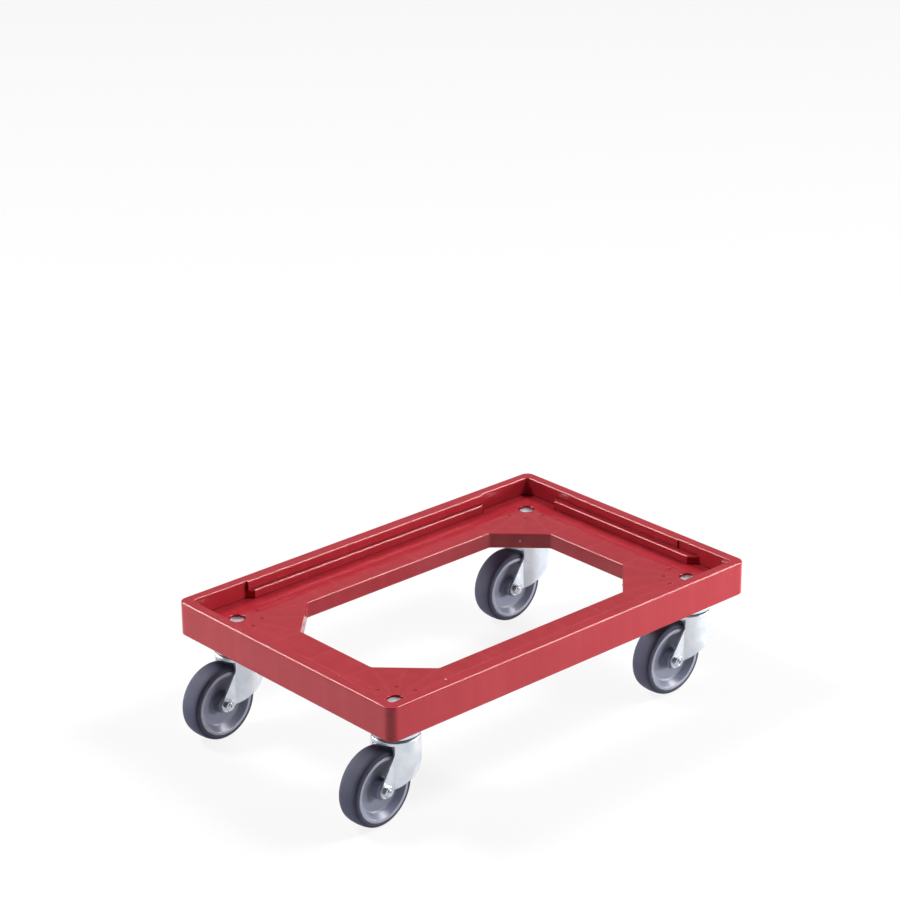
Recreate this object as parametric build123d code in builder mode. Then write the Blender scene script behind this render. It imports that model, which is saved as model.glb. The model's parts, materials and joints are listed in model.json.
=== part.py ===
from build123d import *
import os
from math import acos, atan2, cos, degrees, hypot, pi, radians, sin, sqrt, tan

# Crate dolly: a moulded frame with a seat for a crate, standing on four swivel castors.
# X runs along the long sides, Y along the short sides and Z up. At rest every castor trails
# towards -X. The pieces are made about the frame's centre, and then moved along X so that the
# origin is on the floor below the middle of the whole dolly, wheels included. All sizes are in mm.

# Frame moulding
FRAME_LENGTH = 610.0
FRAME_WIDTH = 410.0
FRAME_HEIGHT = 45.0
CORNER_RADIUS = 12.0
WALL = 4.0
EDGE_RADIUS = 1.8
FOOT_EDGE_RADIUS = 0.8

# Crate seat inside the rim, whose corners are cones that widen down to the deck
RIM_WIDTH = 14.3
SEAT_DEPTH = 24.0
SEAT_CORNER_RADIUS = 3.0
SEAT_FOOT_RADIUS = 15.0

# Pads that thicken the rim along the middle of each side, and the ledges below them.
# Ends are measured from the frame's outer corner along the side.
PAD_END_LONG = 100.0
PAD_END_SHORT = 107.0
PAD_STEP_LONG = 3.5
PAD_STEP_SHORT = 1.7
LEDGE_DEPTH = 12.5
LEDGE_END_LONG = 106.5
LEDGE_END_SHORT = 80.5
LEDGE_WIDTH_LONG = 8.7
LEDGE_WIDTH_SHORT = 11.5

# Central opening, an oblong with its corners cut off
OPENING_MARGIN_LONG = 79.0
OPENING_MARGIN_SHORT = 88.0
OPENING_CHAMFER = 58.0
OPENING_CORNER_RADIUS = 6.0
GATE_MARK_RADIUS = 1.6
GATE_MARK_HEIGHT = 0.6

# Ribs and castor bosses under the deck
RIB_THICKNESS = 3.0
RIB_SETBACK = 2.0
RIBS_PER_LONG_SIDE = 4
BOSS_RADIUS = 20.0
DIMPLE_CIRCLE_RADIUS = 32.0
DIMPLE_RADIUS = 2.4
DIMPLE_DEPTH = 0.5

# Castor position and swing at rest, in degrees about Z from trailing along -X
CASTOR_INSET = 53.0
SWING_FRONT_LEFT = 5.0
SWING_REAR_LEFT = 3.5
SWING_REAR_RIGHT = 0.0
SWING_FRONT_RIGHT = -1.0

# Wheel: the tyre's depth and the hub's lip are measured in from the tread
WHEEL_RADIUS = 50.0
TYRE_WIDTH = 30.0
TYRE_DEPTH = 11.0
TYRE_SHOULDER_RADIUS = 6.5
TREAD_CROWN = 0.7
BOND_GAP = 0.05
LIP_DEPTH = 7.7
LIP_BREADTH = 4.2
LIP_PROUD = 0.6
LIP_THICKNESS = 1.8
DISH_SLOPE = 6.6
DISH_DEPTH = 8.5
WEB_TAPER = 2.0
HUB_BOSS_WALL = 7.0
HUB_END_GAP = 0.3
HUB_BEND_RADIUS = 2.5

# Axle
AXLE_BOLT_RADIUS = 4.0
AXLE_CLEARANCE = 0.1
AXLE_SLEEVE_WALL = 1.9
HUB_RUNNING_CLEARANCE = 0.05
AXLE_NUT_FLATS = 13.0
AXLE_NUT_HEIGHT = 5.2
AXLE_HEAD_HEIGHT = 5.3
AXLE_BOLT_END = 0.8
AXLE_END_CHAMFER = 0.6
AXLE_CENTRE_RADIUS = 1.5
AXLE_CENTRE_DEPTH = 2.0

# Mounting bolt through the frame's boss and the castor's hollow rivet
BOLT_RADIUS = 5.0
BOLT_CLEARANCE = 0.3
BOLT_HEAD_RADIUS = 9.4
BOLT_HEAD_HEIGHT = 4.6
BOLT_HEAD_EDGE = 3.2
BOLT_HEAD_RECESS = 0.8
BOLT_POCKET_CLEARANCE = 1.5
BOLT_END = 2.0
WASHER_WIDTH = 4.7
WASHER_THICKNESS = 2.0
MOUNT_NUT_FLATS = 17.0
MOUNT_NUT_HEIGHT = 8.0
THREAD_CLEARANCE = 0.1

# Swivel head: two rings of balls between the fork's dome and two fixed cups
SWIVEL_GAP = 2.0
CUP_SHEET = 2.5
CUP_HEIGHT = 19.5
CUP_SHOULDER_RADIUS = 9.5
BALL_RADIUS = 3.0
RACE_RADIUS = 15.5
RACE_DEPTH = 0.7
RACE_CLEARANCE = 0.05
RACE_LAND = 0.6
BALL_SPACING = 0.4
RIVET_WALL = 2.7
RIVET_FLANGE_WIDTH = 3.0
RIVET_FLANGE_THICKNESS = 2.0
RIVET_CLEARANCE = 0.1

# Fork, pressed from sheet: a round crown whose wall runs down into two legs
FORK_SHEET = 2.5
FORK_CLEARANCE = 7.0
DOME_CLEARANCE = 1.0
DOME_FLARE = 2.5
DOME_HOLE_GAP = 2.5
CROWN_BRIM = 6.0
CROWN_BEND_RADIUS = 2.5
APRON_DEPTH = 3.0
TRAIL = 37.0
LEG_CLEARANCE = 1.3
LEG_END_RADIUS = 10.0
LEG_LOWER_ANGLE = 31.0
LEG_EDGE = 22.8
LEG_NECK_DROP = 16.5
LEG_NECK_RADIUS = 6.0
LEG_FRONT_RADIUS = 14.0

# Heights above the floor, from the wheel up
AXLE_HEIGHT = WHEEL_RADIUS
CROWN_UNDER = 2 * WHEEL_RADIUS + FORK_CLEARANCE
CROWN_TOP = CROWN_UNDER + FORK_SHEET
APRON_BOTTOM = CROWN_UNDER - APRON_DEPTH
CUP_BOTTOM = CROWN_TOP + SWIVEL_GAP
HEAD_TOP = CUP_BOTTOM + CUP_HEIGHT
FRAME_BOTTOM = HEAD_TOP
FRAME_TOP = FRAME_BOTTOM + FRAME_HEIGHT
DECK_TOP = FRAME_TOP - SEAT_DEPTH
DECK_UNDER = DECK_TOP - WALL
LEDGE_TOP = FRAME_TOP - LEDGE_DEPTH
BOLT_HEAD_SEAT = DECK_TOP - BOLT_HEAD_RECESS - BOLT_HEAD_HEIGHT

# Heights inside the swivel head, from the top plate down
RACE_GROOVE = BALL_RADIUS + RACE_CLEARANCE
RACE_GAP = RACE_GROOVE - RACE_DEPTH
CUP_UNDER = HEAD_TOP - CUP_SHEET
UPPER_BALLS = CUP_UNDER - RACE_GAP
DOME_TOP = UPPER_BALLS - RACE_GAP
DOME_UNDER = DOME_TOP - FORK_SHEET
LOWER_BALLS = DOME_UNDER - RACE_GAP
LOWER_CUP_TOP = LOWER_BALLS - RACE_GAP
LOWER_CUP_UNDER = LOWER_CUP_TOP - CUP_SHEET
RIVET_BOTTOM = LOWER_CUP_UNDER - RIVET_FLANGE_THICKNESS
WASHER_BOTTOM = RIVET_BOTTOM - WASHER_THICKNESS
MOUNT_NUT_BOTTOM = WASHER_BOTTOM - MOUNT_NUT_HEIGHT
BOLT_BOTTOM = MOUNT_NUT_BOTTOM - BOLT_END

# Places in plan, as half sizes about the centre
HALF_LENGTH = FRAME_LENGTH / 2
HALF_WIDTH = FRAME_WIDTH / 2
SEAT_HALF_X = HALF_LENGTH - RIM_WIDTH
SEAT_HALF_Y = HALF_WIDTH - RIM_WIDTH
OPEN_HALF_X = HALF_LENGTH - OPENING_MARGIN_SHORT
OPEN_HALF_Y = HALF_WIDTH - OPENING_MARGIN_LONG
OPEN_FLAT_X = OPEN_HALF_X - OPENING_CHAMFER
OPEN_FLAT_Y = OPEN_HALF_Y - OPENING_CHAMFER
CASTOR_X = HALF_LENGTH - CASTOR_INSET
CASTOR_Y = HALF_WIDTH - CASTOR_INSET
QUADRANTS = [(sx, sy) for sx in (1, -1) for sy in (1, -1)]
CASTOR_POINTS = [(sx * CASTOR_X, sy * CASTOR_Y) for sx, sy in QUADRANTS]

# Radii of the swivel head and the fork's crown, from the bolt outward
RIVET_RADIUS = BOLT_RADIUS + BOLT_CLEARANCE + RIVET_WALL
DOME_HOLE_RADIUS = RIVET_RADIUS + DOME_HOLE_GAP
LOWER_CUP_RADIUS = RACE_RADIUS + sqrt(RACE_GROOVE**2 - RACE_GAP**2) + RACE_LAND
DOME_TOP_RADIUS = RACE_RADIUS + BALL_RADIUS + DOME_CLEARANCE + FORK_SHEET
DOME_FOOT_RADIUS = DOME_TOP_RADIUS + DOME_FLARE
CROWN_RADIUS = DOME_FOOT_RADIUS + CROWN_BRIM
CUP_RADIUS = CROWN_RADIUS
BALL_COUNT = int(2 * pi * RACE_RADIUS / (2 * BALL_RADIUS + BALL_SPACING))

# Radii of the wheel and places along its axle, from the wheel's middle plane outward
AXLE_SLEEVE_RADIUS = AXLE_BOLT_RADIUS + AXLE_CLEARANCE + AXLE_SLEEVE_WALL
HUB_BORE_RADIUS = AXLE_SLEEVE_RADIUS + HUB_RUNNING_CLEARANCE
HUB_BOSS_RADIUS = HUB_BORE_RADIUS + HUB_BOSS_WALL
TYRE_BOND_RADIUS = WHEEL_RADIUS - TYRE_DEPTH
LIP_RADIUS = WHEEL_RADIUS - LIP_DEPTH
LIP_INNER_RADIUS = LIP_RADIUS - LIP_BREADTH
DISH_RADIUS = LIP_INNER_RADIUS - DISH_SLOPE
LIP_HALF = TYRE_WIDTH / 2 + LIP_PROUD
LIP_INSIDE = LIP_HALF - LIP_THICKNESS
DISH_HALF = LIP_HALF - DISH_DEPTH
LEG_INNER = LIP_HALF + LEG_CLEARANCE
LEG_OUTER = LEG_INNER + FORK_SHEET
HUB_HALF = LEG_INNER - HUB_END_GAP
LEG_CREASE = sqrt(CROWN_RADIUS**2 - LEG_OUTER**2)

# Planes and axes for the castor, which is made about the Z axis
VERTICAL_SECTION = Plane.XZ
WHEEL_CENTRE = (-TRAIL, 0, AXLE_HEIGHT)
WHEEL_SECTION = Plane(origin=WHEEL_CENTRE, x_dir=(0, 0, 1), z_dir=(1, 0, 0))
AXLE_AXIS = Axis(WHEEL_CENTRE, (0, 1, 0))


def opening_outline(grow, mode):
    """Draw the opening's eight-sided outline, moved outward by grow."""
    half_x = OPEN_HALF_X + grow
    half_y = OPEN_HALF_Y + grow
    cut = OPENING_CHAMFER + grow * (2 - sqrt(2))
    with BuildSketch(mode=Mode.PRIVATE) as outline:
        with BuildLine():
            Polyline(
                (half_x, cut - half_y), (half_x, half_y - cut), (half_x - cut, half_y),
                (cut - half_x, half_y), (-half_x, half_y - cut), (-half_x, cut - half_y),
                (cut - half_x, -half_y), (half_x - cut, -half_y), close=True,
            )
        make_face()
        fillet(outline.vertices(), radius=OPENING_CORNER_RADIUS + grow)
    add(outline.sketch, mode=mode)


def ledge_outlines(inset, reach, mode):
    """Draw the plan of the four ledges, their edges moved inward by inset, out to the wall plus reach."""
    far_y = SEAT_HALF_Y + reach
    near_y = SEAT_HALF_Y - LEDGE_WIDTH_LONG + inset
    half_x = HALF_LENGTH - LEDGE_END_LONG - inset * tan(pi / 8)
    spread_y = far_y - near_y
    far_x = SEAT_HALF_X + reach
    near_x = SEAT_HALF_X - LEDGE_WIDTH_SHORT + inset
    half_y = HALF_WIDTH - LEDGE_END_SHORT - inset * tan(pi / 8)
    spread_x = far_x - near_x
    for side in (1, -1):
        Polygon(
            (-half_x, side * near_y), (half_x, side * near_y),
            (half_x + spread_y, side * far_y), (-half_x - spread_y, side * far_y),
            align=None, mode=mode,
        )
        Polygon(
            (side * near_x, -half_y), (side * near_x, half_y),
            (side * far_x, half_y + spread_x), (side * far_x, -half_y - spread_x),
            align=None, mode=mode,
        )


def pad_outlines():
    """Draw the plan of the four pads and take it out of the seat."""
    pad_x = FRAME_LENGTH - 2 * PAD_END_LONG
    pad_y = FRAME_WIDTH - 2 * PAD_END_SHORT
    for side in (1, -1):
        with Locations((0, side * SEAT_HALF_Y)):
            Rectangle(pad_x, 2 * PAD_STEP_LONG, mode=Mode.SUBTRACT)
        with Locations((side * SEAT_HALF_X, 0)):
            Rectangle(2 * PAD_STEP_SHORT, pad_y, mode=Mode.SUBTRACT)


def seat_corner(side_x, side_y, radius):
    """Draw what fills one corner of the seat outside a round of this radius, overlapping the rim."""
    corner_x = side_x * SEAT_HALF_X
    corner_y = side_y * SEAT_HALF_Y
    middle = radius * (1 - cos(pi / 4))
    overlap = RIM_WIDTH / 2
    start = (corner_x - side_x * radius, corner_y)
    end = (corner_x, corner_y - side_y * radius)
    with BuildSketch(mode=Mode.PRIVATE) as filling:
        with BuildLine():
            ThreePointArc(start, (corner_x - side_x * middle, corner_y - side_y * middle), end)
            Polyline(
                end, (corner_x + side_x * overlap, end[1]),
                (corner_x + side_x * overlap, corner_y + side_y * overlap),
                (start[0], corner_y + side_y * overlap), start,
            )
        make_face()
    add(filling.sketch)


def rib(start, end):
    """Draw one straight rib between two points and take it out of the pocket."""
    run_x = end[0] - start[0]
    run_y = end[1] - start[1]
    middle = ((start[0] + end[0]) / 2, (start[1] + end[1]) / 2)
    with Locations(Location(middle, degrees(atan2(run_y, run_x)))):
        Rectangle(hypot(run_x, run_y), RIB_THICKNESS, mode=Mode.SUBTRACT)


def ribs():
    """Draw all ribs: a fan round each castor boss, and cross ribs and a spine along each side."""
    spine_x = (OPEN_HALF_X + HALF_LENGTH) / 2
    spine_y = (OPEN_HALF_Y + HALF_WIDTH) / 2
    for sx, sy in QUADRANTS:
        boss = (sx * CASTOR_X, sy * CASTOR_Y)
        chamfer_middle = (OPEN_HALF_X - OPENING_CHAMFER / 2, OPEN_HALF_Y - OPENING_CHAMFER / 2)
        fan_ends = [
            (OPEN_FLAT_X, CASTOR_Y), (OPEN_FLAT_X, OPEN_HALF_Y), chamfer_middle,
            (OPEN_HALF_X, OPEN_FLAT_Y), (CASTOR_X, OPEN_FLAT_Y), (CASTOR_X, HALF_WIDTH),
            (HALF_LENGTH - WALL, HALF_WIDTH - WALL), (HALF_LENGTH, CASTOR_Y),
        ]
        for end_x, end_y in fan_ends:
            rib(boss, (sx * end_x, sy * end_y))
        rib((sx * OPEN_FLAT_X, sy * OPEN_HALF_Y), (sx * OPEN_FLAT_X, sy * HALF_WIDTH))
        rib((sx * OPEN_HALF_X, sy * OPEN_FLAT_Y), (sx * HALF_LENGTH, sy * OPEN_FLAT_Y))
    for side in (1, -1):
        rib((-OPEN_FLAT_X, side * spine_y), (OPEN_FLAT_X, side * spine_y))
        rib((side * spine_x, -OPEN_FLAT_Y), (side * spine_x, OPEN_FLAT_Y))
        rib((side * OPEN_HALF_X, 0), (side * HALF_LENGTH, 0))
        for place in range(1, RIBS_PER_LONG_SIDE + 1):
            x = OPEN_FLAT_X * (2 * place / (RIBS_PER_LONG_SIDE + 1) - 1)
            rib((x, side * OPEN_HALF_Y), (x, side * HALF_WIDTH))


def channel():
    """Draw the hollow below the deck, between the frame's outer wall, the opening's wall and the bosses."""
    RectangleRounded(FRAME_LENGTH - 2 * WALL, FRAME_WIDTH - 2 * WALL, CORNER_RADIUS - WALL)
    opening_outline(WALL, Mode.SUBTRACT)
    with Locations(*CASTOR_POINTS):
        Circle(BOSS_RADIUS, mode=Mode.SUBTRACT)


def is_ledge_lip(edge):
    """Tell the free edges of a ledge's top from the edges where it meets the rim."""
    middle = edge.center()
    if abs(middle.Z - LEDGE_TOP) > 0.01:
        return False
    from_long_side = SEAT_HALF_Y - abs(middle.Y)
    from_short_side = SEAT_HALF_X - abs(middle.X)
    if from_long_side < from_short_side:
        return from_long_side > PAD_STEP_LONG + 0.1
    return from_short_side > PAD_STEP_SHORT + 0.1


def is_opening_edge(edge):
    """Tell the edges of the central opening's mouth at deck height."""
    middle = edge.center()
    inside_x = abs(middle.X) < OPEN_HALF_X + 0.1
    inside_y = abs(middle.Y) < OPEN_HALF_Y + 0.1
    return abs(middle.Z - DECK_TOP) < 0.01 and inside_x and inside_y


# Frame: rim, deck, ledges, bosses and ribs are one moulding
with BuildPart() as dolly_frame:
    with BuildSketch(Plane.XY.offset(FRAME_BOTTOM)):
        RectangleRounded(FRAME_LENGTH, FRAME_WIDTH, CORNER_RADIUS)
    extrude(amount=FRAME_HEIGHT)
    with BuildSketch(Plane.XY.offset(DECK_TOP)):
        Rectangle(2 * SEAT_HALF_X, 2 * SEAT_HALF_Y)
        ledge_outlines(0, WALL, Mode.SUBTRACT)
    extrude(amount=LEDGE_TOP - DECK_TOP, mode=Mode.SUBTRACT)
    with BuildSketch(Plane.XY.offset(LEDGE_TOP)):
        Rectangle(2 * SEAT_HALF_X, 2 * SEAT_HALF_Y)
        pad_outlines()
    extrude(amount=LEDGE_DEPTH, mode=Mode.SUBTRACT)
    for sx, sy in QUADRANTS:
        for height, radius in ((DECK_TOP, SEAT_FOOT_RADIUS), (FRAME_TOP, SEAT_CORNER_RADIUS)):
            with BuildSketch(Plane.XY.offset(height)):
                seat_corner(sx, sy, radius)
        loft(ruled=True)
    with BuildSketch(Plane.XY.offset(FRAME_BOTTOM)):
        opening_outline(0, Mode.ADD)
    extrude(amount=FRAME_HEIGHT, mode=Mode.SUBTRACT)
    fillet(dolly_frame.faces().sort_by(Axis.Z)[-1].edges(), radius=EDGE_RADIUS)
    fillet(dolly_frame.edges().filter_by(is_ledge_lip), radius=EDGE_RADIUS)
    fillet(dolly_frame.edges().filter_by(is_opening_edge), radius=EDGE_RADIUS)
    fillet(dolly_frame.faces().sort_by(Axis.Z)[0].outer_wire().edges(), radius=FOOT_EDGE_RADIUS)
    # Hollow underside, with the rim and the ledges hollow as well
    with BuildSketch(Plane.XY.offset(FRAME_BOTTOM)):
        channel()
    extrude(amount=RIB_SETBACK, mode=Mode.SUBTRACT)
    with BuildSketch(Plane.XY.offset(FRAME_BOTTOM + RIB_SETBACK)):
        channel()
        ribs()
    extrude(amount=DECK_UNDER - FRAME_BOTTOM - RIB_SETBACK, mode=Mode.SUBTRACT)
    with BuildSketch(Plane.XY.offset(DECK_UNDER)):
        RectangleRounded(FRAME_LENGTH - 2 * WALL, FRAME_WIDTH - 2 * WALL, CORNER_RADIUS - WALL)
        Rectangle(2 * (SEAT_HALF_X + WALL), 2 * (SEAT_HALF_Y + WALL), mode=Mode.SUBTRACT)
        ribs()
    extrude(amount=SEAT_DEPTH, mode=Mode.SUBTRACT)
    with BuildSketch(Plane.XY.offset(DECK_UNDER)):
        ledge_outlines(WALL, WALL, Mode.ADD)
        ribs()
    extrude(amount=LEDGE_TOP - DECK_TOP, mode=Mode.SUBTRACT)
    # Bolt holes with a pocket for the head, and the shallow marks round them
    with BuildSketch(Plane.XY.offset(FRAME_BOTTOM)):
        with Locations(*CASTOR_POINTS):
            Circle(BOLT_RADIUS + BOLT_CLEARANCE)
    extrude(amount=FRAME_HEIGHT, mode=Mode.SUBTRACT)
    with BuildSketch(Plane.XY.offset(BOLT_HEAD_SEAT)):
        with Locations(*CASTOR_POINTS):
            Circle(BOLT_HEAD_RADIUS + BOLT_POCKET_CLEARANCE)
    extrude(amount=FRAME_HEIGHT, mode=Mode.SUBTRACT)
    with BuildSketch(Plane.XY.offset(DECK_TOP)):
        for sx, sy in QUADRANTS:
            for turn in (0, pi / 4, pi / 2):
                mark_x = CASTOR_X - DIMPLE_CIRCLE_RADIUS * cos(turn)
                mark_y = CASTOR_Y - DIMPLE_CIRCLE_RADIUS * sin(turn)
                with Locations((sx * mark_x, sy * mark_y)):
                    Circle(DIMPLE_RADIUS)
    extrude(amount=-DIMPLE_DEPTH, mode=Mode.SUBTRACT)
    # Gate marks in the middle of the opening's cut corners
    for sx, sy in QUADRANTS:
        gate_x = sx * (OPEN_HALF_X - OPENING_CHAMFER / 2)
        gate_y = sy * (OPEN_HALF_Y - OPENING_CHAMFER / 2)
        gate_z = (FRAME_BOTTOM + DECK_TOP) / 2
        with BuildSketch(Plane((gate_x, gate_y, gate_z), x_dir=(0, 0, 1), z_dir=(-sx, -sy, 0))):
            Circle(GATE_MARK_RADIUS)
        extrude(amount=GATE_MARK_HEIGHT)


# Castor pieces, made once about the Z axis with the wheel trailing along -X
with BuildPart() as mounting_bolt:
    with BuildSketch(VERTICAL_SECTION):
        with BuildLine():
            edge_top = (BOLT_HEAD_RADIUS, BOLT_HEAD_SEAT + BOLT_HEAD_EDGE)
            crown = (0, BOLT_HEAD_SEAT + BOLT_HEAD_HEIGHT)
            rise = BOLT_HEAD_HEIGHT - BOLT_HEAD_EDGE
            dome = (BOLT_HEAD_RADIUS**2 + rise**2) / (2 * rise)
            Line((0, BOLT_BOTTOM), (BOLT_RADIUS, BOLT_BOTTOM))
            Line((BOLT_RADIUS, BOLT_BOTTOM), (BOLT_RADIUS, BOLT_HEAD_SEAT))
            Line((BOLT_RADIUS, BOLT_HEAD_SEAT), (BOLT_HEAD_RADIUS, BOLT_HEAD_SEAT))
            Line((BOLT_HEAD_RADIUS, BOLT_HEAD_SEAT), edge_top)
            RadiusArc(edge_top, crown, -dome)
            Line(crown, (0, BOLT_BOTTOM))
        make_face()
    revolve(axis=Axis.Z)

with BuildPart() as mounting_washer:
    with BuildSketch(Plane.XY.offset(WASHER_BOTTOM)):
        Circle(BOLT_RADIUS + BOLT_CLEARANCE + WASHER_WIDTH)
        Circle(BOLT_RADIUS + BOLT_CLEARANCE, mode=Mode.SUBTRACT)
    extrude(amount=WASHER_THICKNESS)

with BuildPart() as mounting_nut:
    with BuildSketch(Plane.XY.offset(MOUNT_NUT_BOTTOM)):
        RegularPolygon(MOUNT_NUT_FLATS / 2, 6, major_radius=False)
        Circle(BOLT_RADIUS + THREAD_CLEARANCE, mode=Mode.SUBTRACT)
    extrude(amount=MOUNT_NUT_HEIGHT)

with BuildPart() as swivel_cup:
    with BuildSketch(VERTICAL_SECTION) as cup_section:
        cup_bore = RIVET_RADIUS + RIVET_CLEARANCE
        with BuildLine():
            Polyline(
                (cup_bore, HEAD_TOP), (CUP_RADIUS, HEAD_TOP), (CUP_RADIUS, CUP_BOTTOM),
                (CUP_RADIUS - CUP_SHEET, CUP_BOTTOM), (CUP_RADIUS - CUP_SHEET, CUP_UNDER),
                (cup_bore, CUP_UNDER), close=True,
            )
        make_face()
        outer_corner = cup_section.vertices().sort_by_distance((CUP_RADIUS, HEAD_TOP, 0))[0]
        fillet(outer_corner, radius=CUP_SHOULDER_RADIUS)
        inner_corner = cup_section.vertices().sort_by_distance((CUP_RADIUS - CUP_SHEET, CUP_UNDER, 0))[0]
        fillet(inner_corner, radius=CUP_SHOULDER_RADIUS - CUP_SHEET)
        with Locations((RACE_RADIUS, UPPER_BALLS)):
            Circle(RACE_GROOVE, mode=Mode.SUBTRACT)
    revolve(axis=Axis.Z)

with BuildPart() as lower_cup:
    with BuildSketch(VERTICAL_SECTION):
        with BuildLine():
            Polyline(
                (cup_bore, LOWER_CUP_TOP), (LOWER_CUP_RADIUS, LOWER_CUP_TOP),
                (LOWER_CUP_RADIUS, LOWER_CUP_UNDER), (cup_bore, LOWER_CUP_UNDER), close=True,
            )
        make_face()
        with Locations((RACE_RADIUS, LOWER_BALLS)):
            Circle(RACE_GROOVE, mode=Mode.SUBTRACT)
    revolve(axis=Axis.Z)

with BuildPart() as swivel_rivet:
    with BuildSketch(VERTICAL_SECTION):
        with BuildLine():
            rivet_bore = BOLT_RADIUS + BOLT_CLEARANCE
            flange = RIVET_RADIUS + RIVET_FLANGE_WIDTH
            Polyline(
                (rivet_bore, HEAD_TOP), (RIVET_RADIUS, HEAD_TOP), (RIVET_RADIUS, LOWER_CUP_UNDER),
                (flange, LOWER_CUP_UNDER), (flange, RIVET_BOTTOM), (rivet_bore, RIVET_BOTTOM), close=True,
            )
        make_face()
    revolve(axis=Axis.Z)

with BuildPart() as upper_balls:
    with Locations((0, 0, UPPER_BALLS)):
        with PolarLocations(RACE_RADIUS, BALL_COUNT):
            Sphere(BALL_RADIUS)

with BuildPart() as lower_balls:
    with Locations((0, 0, LOWER_BALLS)):
        with PolarLocations(RACE_RADIUS, BALL_COUNT):
            Sphere(BALL_RADIUS)


def leg_points():
    """Work out a leg's side view: the neck, three points of the round end, and the front corner."""
    neck_z = CROWN_UNDER - LEG_NECK_DROP
    from_axle = atan2(neck_z - AXLE_HEIGHT, TRAIL - LEG_EDGE)
    reach = hypot(neck_z - AXLE_HEIGHT, TRAIL - LEG_EDGE)
    rear_turn = from_axle + acos(LEG_END_RADIUS / reach)
    lower_turn = radians(LEG_LOWER_ANGLE) - pi / 2
    end_turn = (rear_turn + lower_turn) / 2 + pi
    round_end = [
        (LEG_END_RADIUS * cos(turn) - TRAIL, LEG_END_RADIUS * sin(turn) + AXLE_HEIGHT)
        for turn in (rear_turn, end_turn, lower_turn)
    ]
    lower_x, lower_z = round_end[2]
    front_z = lower_z + (LEG_EDGE - lower_x) * tan(radians(LEG_LOWER_ANGLE))
    return (-LEG_EDGE, neck_z), round_end, (LEG_EDGE, front_z)


with BuildPart() as fork:
    # Legs in plan: the crown's round wall, running into a flat plate beside the wheel.
    # The side view then trims both, so the plan reaches past it all round.
    flat_end = TRAIL + 2 * LEG_END_RADIUS
    with BuildSketch(Plane.XY):
        Circle(CROWN_RADIUS)
        Circle(CROWN_RADIUS - FORK_SHEET, mode=Mode.SUBTRACT)
        with Locations((-LEG_CREASE, 0)):
            forward = (Align.MIN, Align.CENTER)
            Rectangle(3 * CROWN_RADIUS, 3 * CROWN_RADIUS, align=forward, mode=Mode.INTERSECT)
            Rectangle(2 * LEG_CREASE, 2 * LEG_INNER, mode=Mode.SUBTRACT)
        for side in (1, -1):
            with Locations((-(flat_end + LEG_CREASE) / 2, side * (LEG_INNER + LEG_OUTER) / 2)):
                Rectangle(flat_end - LEG_CREASE, FORK_SHEET)
    extrude(amount=CROWN_UNDER)
    with BuildSketch(VERTICAL_SECTION) as leg_side:
        neck_corner, round_end, front_corner = leg_points()
        with BuildLine():
            ThreePointArc(*round_end)
            Polyline(
                round_end[2], front_corner, (LEG_EDGE, APRON_BOTTOM), (-LEG_EDGE, APRON_BOTTOM),
                neck_corner, round_end[0],
            )
        make_face()
        for corner, radius in ((neck_corner, LEG_NECK_RADIUS), (front_corner, LEG_FRONT_RADIUS)):
            fillet(leg_side.vertices().sort_by_distance((*corner, 0))[0], radius=radius)
    extrude(amount=2 * CROWN_RADIUS, both=True, mode=Mode.INTERSECT)
    # Crown with its apron and the raised dome that carries the ball races
    with BuildSketch(VERTICAL_SECTION) as crown_section:
        with BuildLine():
            Polyline(
                (DOME_HOLE_RADIUS, DOME_TOP), (DOME_TOP_RADIUS, DOME_TOP), (DOME_FOOT_RADIUS, CROWN_TOP),
                (CROWN_RADIUS, CROWN_TOP), (CROWN_RADIUS, APRON_BOTTOM),
                (CROWN_RADIUS - FORK_SHEET, APRON_BOTTOM), (CROWN_RADIUS - FORK_SHEET, CROWN_UNDER),
                (DOME_FOOT_RADIUS - FORK_SHEET, CROWN_UNDER), (DOME_TOP_RADIUS - FORK_SHEET, DOME_UNDER),
                (DOME_HOLE_RADIUS, DOME_UNDER), close=True,
            )
        make_face()
        brim = crown_section.vertices().sort_by_distance((CROWN_RADIUS, CROWN_TOP, 0))[0]
        fillet(brim, radius=CROWN_BEND_RADIUS)
        for race_height in (UPPER_BALLS, LOWER_BALLS):
            with Locations((RACE_RADIUS, race_height)):
                Circle(RACE_GROOVE, mode=Mode.SUBTRACT)
    revolve(axis=Axis.Z)
    with BuildSketch(VERTICAL_SECTION):
        with Locations((-TRAIL, AXLE_HEIGHT)):
            Circle(AXLE_BOLT_RADIUS + AXLE_CLEARANCE)
    extrude(amount=2 * CROWN_RADIUS, both=True, mode=Mode.SUBTRACT)

with BuildPart() as axle_sleeve:
    with BuildSketch(WHEEL_SECTION):
        wall = AXLE_SLEEVE_RADIUS - AXLE_BOLT_RADIUS - AXLE_CLEARANCE
        with Locations((AXLE_SLEEVE_RADIUS - wall / 2, 0)):
            Rectangle(wall, 2 * LEG_INNER)
    revolve(axis=AXLE_AXIS)

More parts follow.
